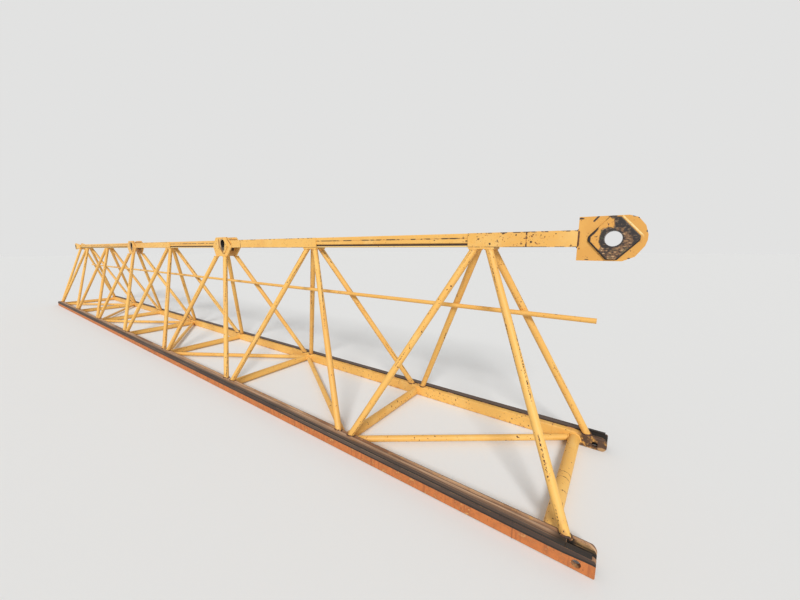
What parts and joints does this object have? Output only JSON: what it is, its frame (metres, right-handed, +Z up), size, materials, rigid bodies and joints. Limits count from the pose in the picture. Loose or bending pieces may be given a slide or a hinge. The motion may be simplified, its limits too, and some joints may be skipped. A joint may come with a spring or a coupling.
{
  "type": "tower crane jib section",
  "caption": "Triangular lattice section of a crane jib, with two trolley rails, a top chord with a pin lug, tie bar lugs and tube bracing.",
  "frame": {"origin": "on the ground under the middle of the section, between the two rails", "axes": "+X along the jib to the root end with the big lug, +Y across to the far rail, +Z up"},
  "size_m": [12.5659, 1.219, 1.6875],
  "materials": {
    "yellow_paint": "satin",
    "rusty_paint": "matte",
    "worn_steel": "satin",
    "greasy_paint": "satin"
  },
  "bodies": {
    "root": {"near_rail": "rusty_paint", "far_rail": "yellow_paint", "near_running_strip": "worn_steel", "far_running_strip": "worn_steel", "near_rail_fork": "rusty_paint", "far_rail_fork": "rusty_paint", "near_rail_tongue": "rusty_paint", "far_rail_tongue": "rusty_paint", "top_chord_root": "yellow_paint", "top_chord_middle": "yellow_paint", "top_chord_outer": "yellow_paint", "top_chord_fork": "yellow_paint", "apex_plates": "yellow_paint", "root_side_plates": "yellow_paint", "inner_side_plates": "yellow_paint", "outer_side_plates": "yellow_paint", "end_lug": "greasy_paint", "end_lug_pads": "greasy_paint", "inner_tie_lugs": "yellow_paint", "outer_tie_lugs": "yellow_paint", "inner_tie_pads": "yellow_paint", "outer_tie_pads": "yellow_paint", "inner_tie_sleeve": "yellow_paint", "outer_tie_sleeve": "yellow_paint", "near_falling_diagonals": "yellow_paint", "near_rising_diagonals": "yellow_paint", "far_falling_diagonals": "yellow_paint", "far_rising_diagonals": "yellow_paint", "end_posts": "yellow_paint", "floor_crossbars": "yellow_paint", "end_crossbar": "yellow_paint", "floor_diagonals": "yellow_paint", "guide_tube": "yellow_paint"}
  },
  "joints": []
}
